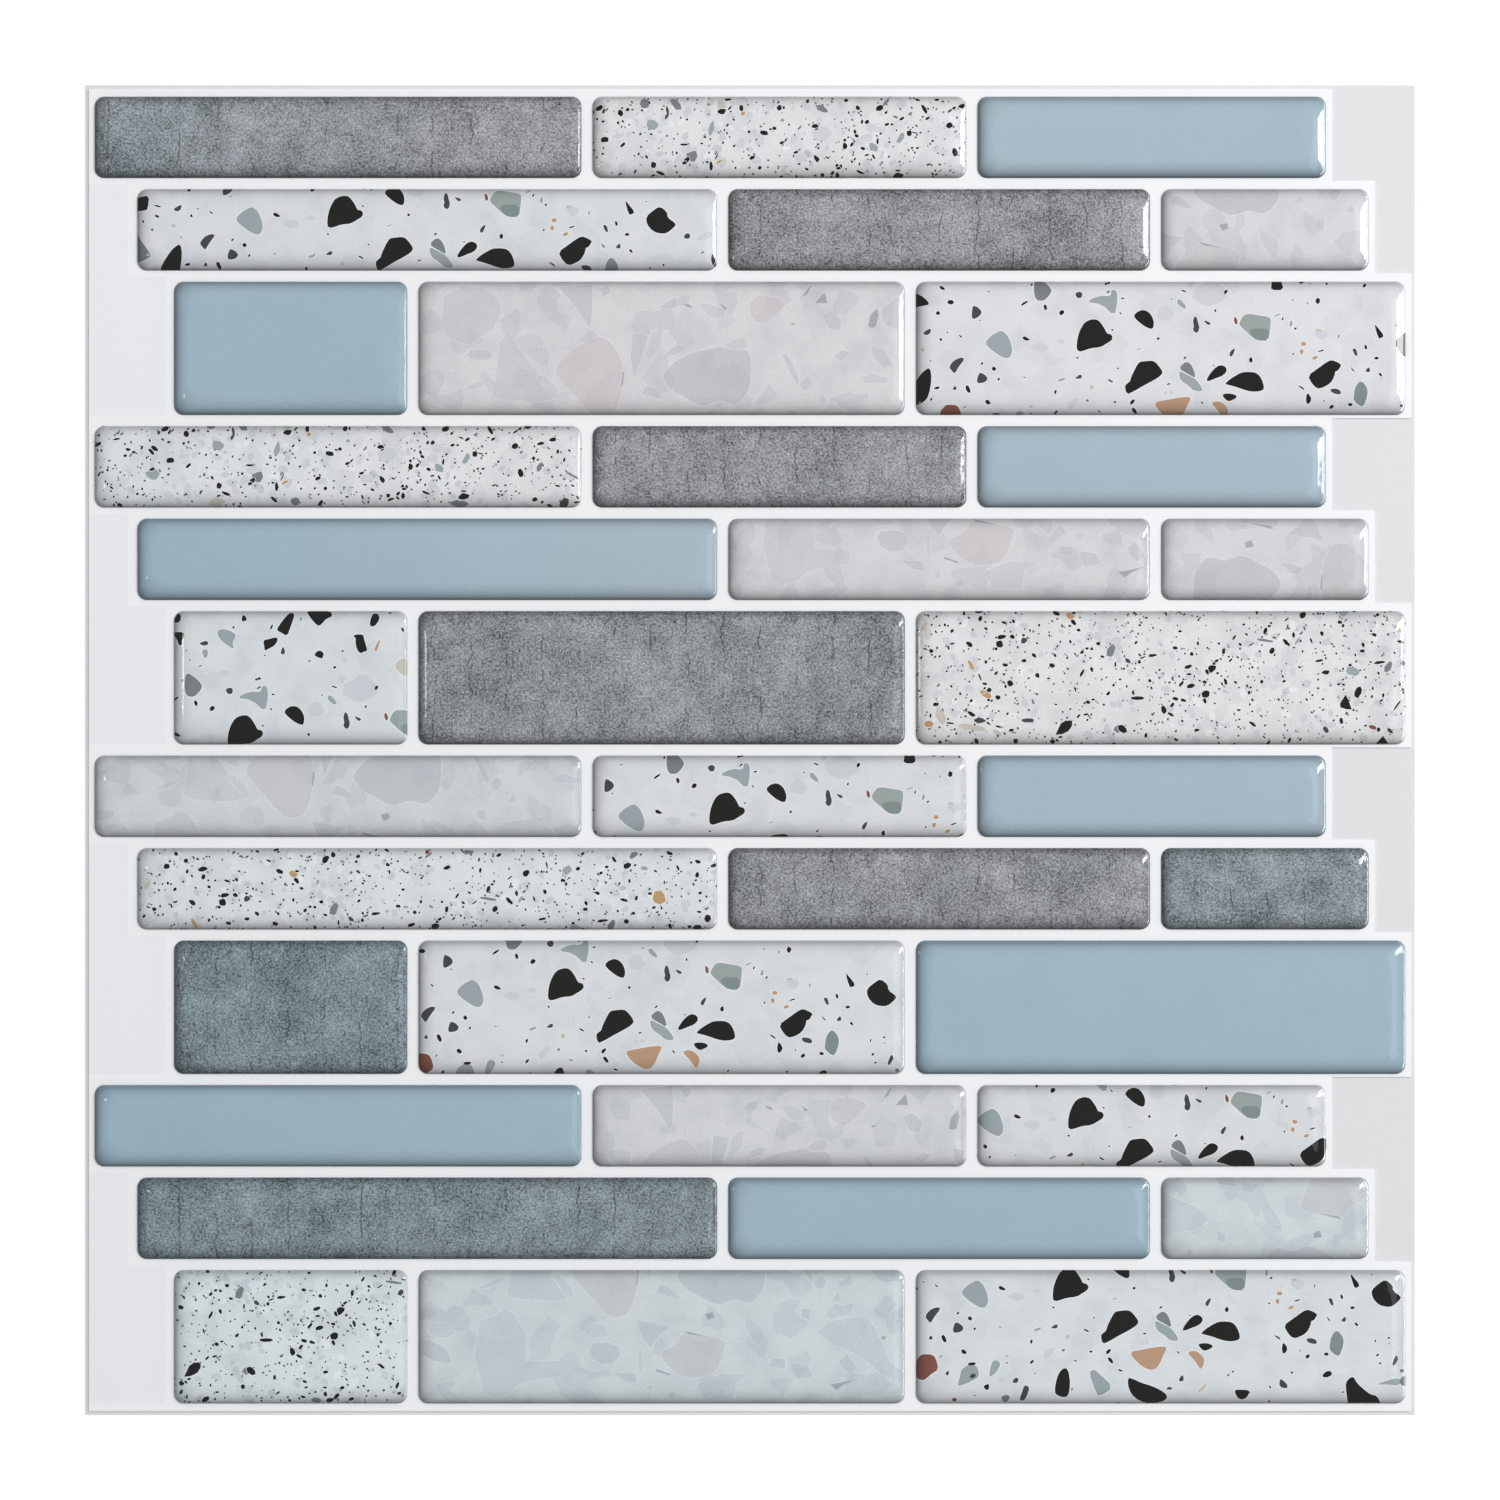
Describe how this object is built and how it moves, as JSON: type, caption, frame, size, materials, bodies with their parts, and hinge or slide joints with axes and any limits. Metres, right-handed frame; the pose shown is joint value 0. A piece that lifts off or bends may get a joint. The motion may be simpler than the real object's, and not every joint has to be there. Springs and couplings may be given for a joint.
{
  "type": "peel and stick backsplash tile",
  "caption": "Square adhesive wall tile sheet: rows of domed gel tiles in stone looks on a white film with a stepped overlap edge, on its release liner.",
  "frame": {"origin": "centre of the release liner's underside", "axes": "+X along the rows towards the stepped edge, +Y up the sheet to the top row, +Z out of the tiles' face"},
  "size_m": [0.3048, 0.3048, 0.002],
  "materials": {
    "release_liner": "smooth coated paper",
    "white_film": "matte printed vinyl",
    "slate_gel": "clear gel over grey stone print",
    "terrazzo_gel": "clear gel over bold terrazzo print",
    "speckle_gel": "clear gel over fine terrazzo print",
    "blue_gel": "clear gel over plain blue-grey print",
    "quartz_gel": "clear gel over pale quartz print"
  },
  "bodies": {
    "root": {"release_liner": "release_liner", "vinyl_film": "white_film", "gel_row01_left": "slate_gel", "gel_row01_middle": "speckle_gel", "gel_row01_right": "blue_gel", "gel_row02_left": "terrazzo_gel", "gel_row02_middle": "slate_gel", "gel_row02_right": "quartz_gel", "gel_row03_left": "blue_gel", "gel_row03_middle": "quartz_gel", "gel_row03_right": "terrazzo_gel", "gel_row04_left": "speckle_gel", "gel_row04_middle": "slate_gel", "gel_row04_right": "blue_gel", "gel_row05_left": "blue_gel", "gel_row05_middle": "quartz_gel", "gel_row05_right": "quartz_gel", "gel_row06_left": "terrazzo_gel", "gel_row06_middle": "slate_gel", "gel_row06_right": "speckle_gel", "gel_row07_left": "quartz_gel", "gel_row07_middle": "terrazzo_gel", "gel_row07_right": "blue_gel", "gel_row08_left": "speckle_gel", "gel_row08_middle": "slate_gel", "gel_row08_right": "slate_gel", "gel_row09_left": "slate_gel", "gel_row09_middle": "terrazzo_gel", "gel_row09_right": "blue_gel", "gel_row10_left": "blue_gel", "gel_row10_middle": "quartz_gel", "gel_row10_right": "terrazzo_gel", "gel_row11_left": "slate_gel", "gel_row11_middle": "blue_gel", "gel_row11_right": "quartz_gel", "gel_row12_left": "speckle_gel", "gel_row12_middle": "quartz_gel", "gel_row12_right": "terrazzo_gel"}
  },
  "joints": []
}
